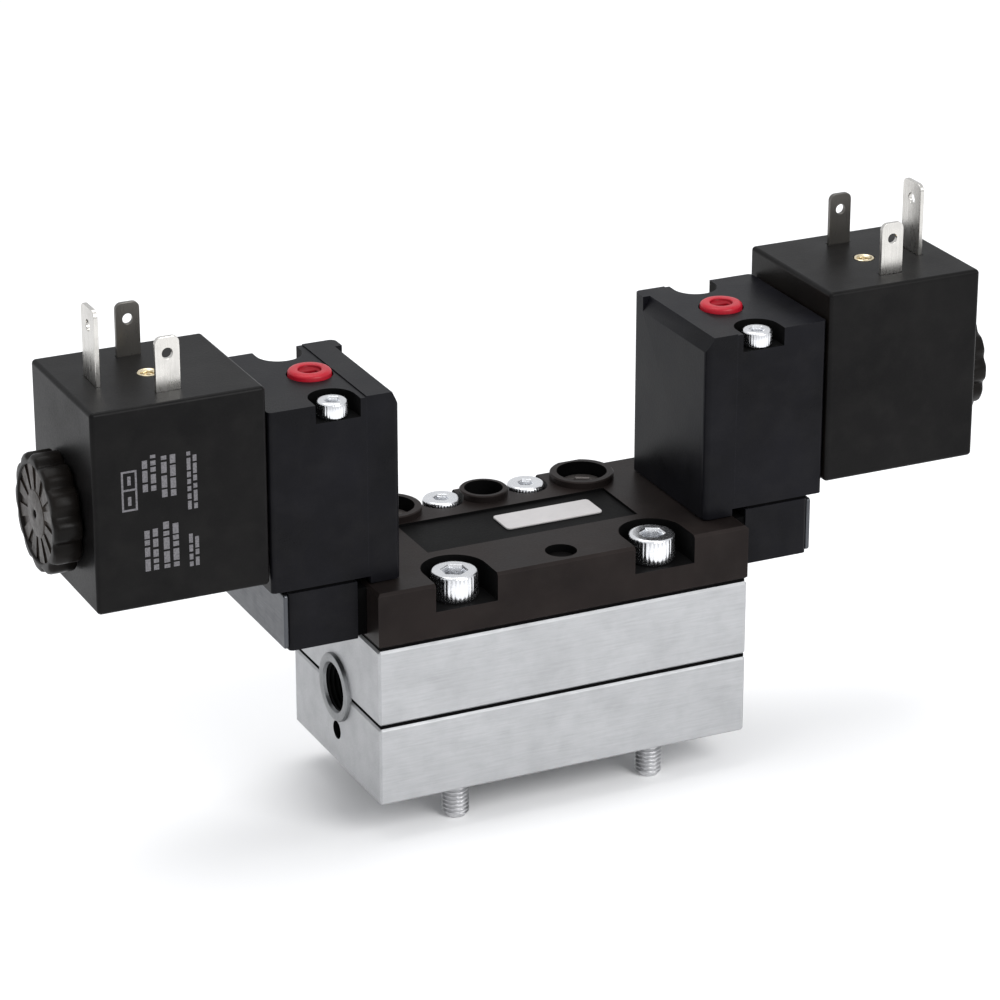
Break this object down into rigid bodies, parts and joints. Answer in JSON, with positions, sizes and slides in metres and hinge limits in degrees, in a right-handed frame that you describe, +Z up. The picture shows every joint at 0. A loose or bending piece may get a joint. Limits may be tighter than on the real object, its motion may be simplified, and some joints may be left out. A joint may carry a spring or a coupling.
{
  "type": "double solenoid directional valve",
  "caption": "Pilot-operated spool valve on a split base, with a plug-in coil on a pilot block at each end, red manual overrides and through mounting screws.",
  "frame": {"origin": "centre of the flat mounting face under the base", "axes": "+X along the spool, towards the right coil; +Z up, away from the mounting face; -Y is the front, the side with the open screw pockets"},
  "size_m": [0.1836, 0.0392, 0.1021],
  "materials": {
    "machined_aluminium": "fine machined, satin, edges broken",
    "black_coated_body": "black coating, low sheen",
    "black_plastic": "moulded, fine satin grain",
    "coil_moulding": "moulded, fine grain with plain pale marks",
    "bobbin_plastic": "moulded",
    "black_rubber": "matt",
    "bright_steel": "bright plated",
    "cover_plate": "dark grey, brushed",
    "tinned_blade": "tinned, stamped",
    "dark_steel_nut": "dark plated, ribbed",
    "port_bush": "turned, threaded",
    "brass_insert": "turned",
    "dark_plug": "matt",
    "red_plastic": "moulded, glossy",
    "plain_label": "printed foil, blank",
    "core_steel": "ground",
    "spring_wire": "drawn wire",
    "yoke_steel": "zinc plated sheet",
    "copper_winding": "enamelled copper wire",
    "spool_aluminium": "turned, anodised",
    "piston_plastic": "moulded acetal"
  },
  "bodies": {
    "valve": {"base_gasket": "black_rubber", "body_gasket": "black_rubber", "body_screws": "bright_steel", "coil_bobbin_left": "bobbin_plastic", "coil_bobbin_right": "bobbin_plastic", "coil_housing_left": "coil_moulding", "coil_housing_right": "coil_moulding", "coil_nut_left": "dark_steel_nut", "coil_nut_right": "dark_steel_nut", "coil_seals": "black_rubber", "coil_winding_left": "copper_winding", "coil_winding_right": "copper_winding", "coil_yoke_left": "yoke_steel", "coil_yoke_right": "yoke_steel", "core_tube_left": "core_steel", "core_tube_right": "core_steel", "earth_terminal_left": "tinned_blade", "earth_terminal_right": "tinned_blade", "end_cap_cover_left": "cover_plate", "end_cap_cover_right": "cover_plate", "end_cap_gasket_left": "black_rubber", "end_cap_gasket_right": "black_rubber", "end_cap_left": "black_plastic", "end_cap_right": "black_plastic", "end_cap_screws": "bright_steel", "end_port_bushes": "port_bush", "fixed_core_left": "core_steel", "fixed_core_right": "core_steel", "label_plate": "plain_label", "line_terminals_left": "tinned_blade", "line_terminals_right": "tinned_blade", "lower_base": "machined_aluminium", "passage_plugs": "dark_plug", "pilot_body_left": "black_plastic", "pilot_body_right": "black_plastic", "pilot_gasket_left": "black_rubber", "pilot_gasket_right": "black_rubber", "pilot_plate_left": "black_plastic", "pilot_plate_right": "black_plastic", "pilot_screws": "bright_steel", "plunger_spring_left": "spring_wire", "plunger_spring_right": "spring_wire", "port_seals": "black_rubber", "retaining_screws": "bright_steel", "terminal_insert_left": "brass_insert", "terminal_insert_right": "brass_insert", "upper_base": "machined_aluminium", "valve_body": "black_coated_body"},
    "spool_assembly": {"spool": "spool_aluminium", "spool_seals": "black_rubber", "pistons": "piston_plastic", "piston_seals": "black_rubber"},
    "plunger_left_body": {"plunger_left": "core_steel", "plunger_seal_left": "black_rubber"},
    "plunger_right_body": {"plunger_right": "core_steel", "plunger_seal_right": "black_rubber"},
    "override_left_body": {"override_left": "red_plastic", "override_seal_left": "black_rubber"},
    "override_right_body": {"override_right": "red_plastic", "override_seal_right": "black_rubber"}
  },
  "joints": [
    {"name": "spool_slide", "type": "slide", "parent": "valve", "child": "spool_assembly", "axis": [1, 0, 0], "range_m": [0, 0.004]},
    {"name": "plunger_left_slide", "type": "slide", "parent": "valve", "child": "plunger_left_body", "axis": [-1, 0, 0], "range_m": [0, 0.0012], "stiffness_N_per_m": 500, "springref_m": -0.002},
    {"name": "plunger_right_slide", "type": "slide", "parent": "valve", "child": "plunger_right_body", "axis": [1, 0, 0], "range_m": [0, 0.0012], "stiffness_N_per_m": 500, "springref_m": -0.002},
    {"name": "override_left_turn", "type": "hinge", "parent": "valve", "child": "override_left_body", "pos_m": [-0.0406, 0, 0.076], "axis": [0, 0, 1], "range_deg": [0, 90]},
    {"name": "override_right_turn", "type": "hinge", "parent": "valve", "child": "override_right_body", "pos_m": [0.0406, 0, 0.076], "axis": [0, 0, 1], "range_deg": [0, 90]}
  ]
}
